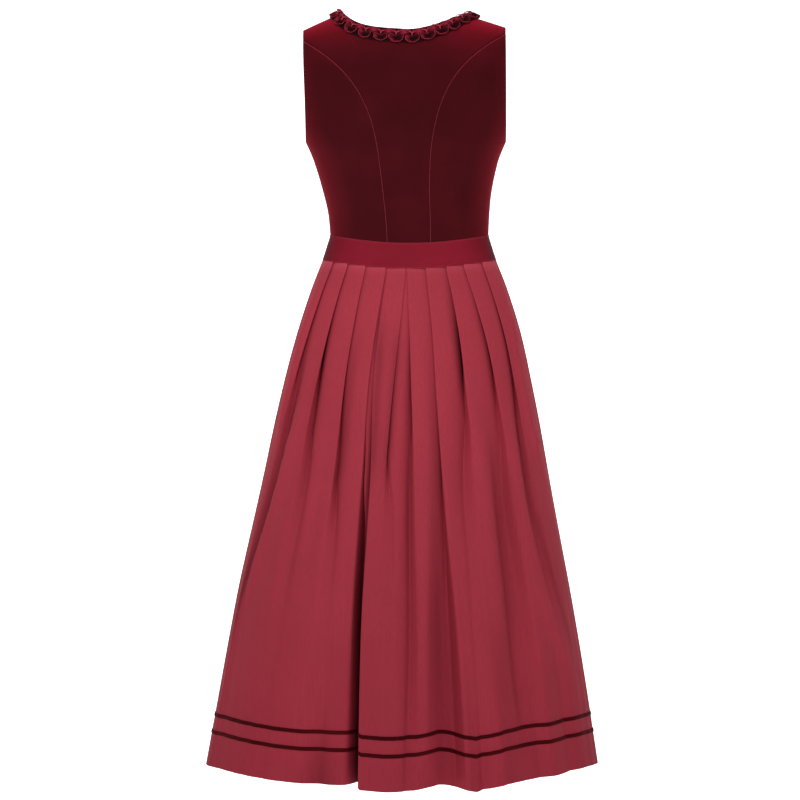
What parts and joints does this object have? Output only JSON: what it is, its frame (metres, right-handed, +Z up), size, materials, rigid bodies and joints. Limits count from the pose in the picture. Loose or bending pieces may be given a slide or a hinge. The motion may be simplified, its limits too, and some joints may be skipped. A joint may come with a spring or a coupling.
{
  "type": "dirndl",
  "caption": "Sleeveless folk dress in its worn form: fitted velvet bodice with a ruched neck trim, smooth waistband and a long pleated skirt with two ribbons above the hem.",
  "frame": {"origin": "midway between the two shoulder lines, where the wearer's shoulders carry the dress", "axes": "+Z up, +Y the way the wearer faces, +X the wearer's right"},
  "size_m": [0.673, 0.56, 1.2833],
  "materials": {
    "bodice_velvet": "short-pile cotton velvet, wine red, with a brighter sheen at grazing angles",
    "neck_trim": "ruched satin-faced ribbon gathered into a row of small hearts",
    "waistband": "smooth satin-weave cotton",
    "skirt_cloth": "plain-weave linen and cotton with faint upright slubs, pressed into pleats",
    "hem_ribbon": "narrow velvet ribbon",
    "hook_metal": "black lacquered wire hooks and eyes"
  },
  "bodies": {
    "root": {"bodice_back_centre": "bodice_velvet", "bodice_side_back_left": "bodice_velvet", "bodice_side_back_right": "bodice_velvet", "bodice_side_front_left": "bodice_velvet", "bodice_side_front_right": "bodice_velvet", "bodice_front_left": "bodice_velvet", "bodice_front_right": "bodice_velvet", "neck_trim": "neck_trim", "waistband": "waistband", "skirt_back": "skirt_cloth", "skirt_front_left": "skirt_cloth", "skirt_front_right": "skirt_cloth", "ribbon_upper": "hem_ribbon", "ribbon_lower": "hem_ribbon", "hook_1": "hook_metal", "hook_2": "hook_metal", "hook_3": "hook_metal", "hook_4": "hook_metal", "hook_5": "hook_metal", "hook_6": "hook_metal", "hook_7": "hook_metal", "eye_1": "hook_metal", "eye_2": "hook_metal", "eye_3": "hook_metal", "eye_4": "hook_metal", "eye_5": "hook_metal", "eye_6": "hook_metal", "eye_7": "hook_metal"}
  },
  "joints": []
}
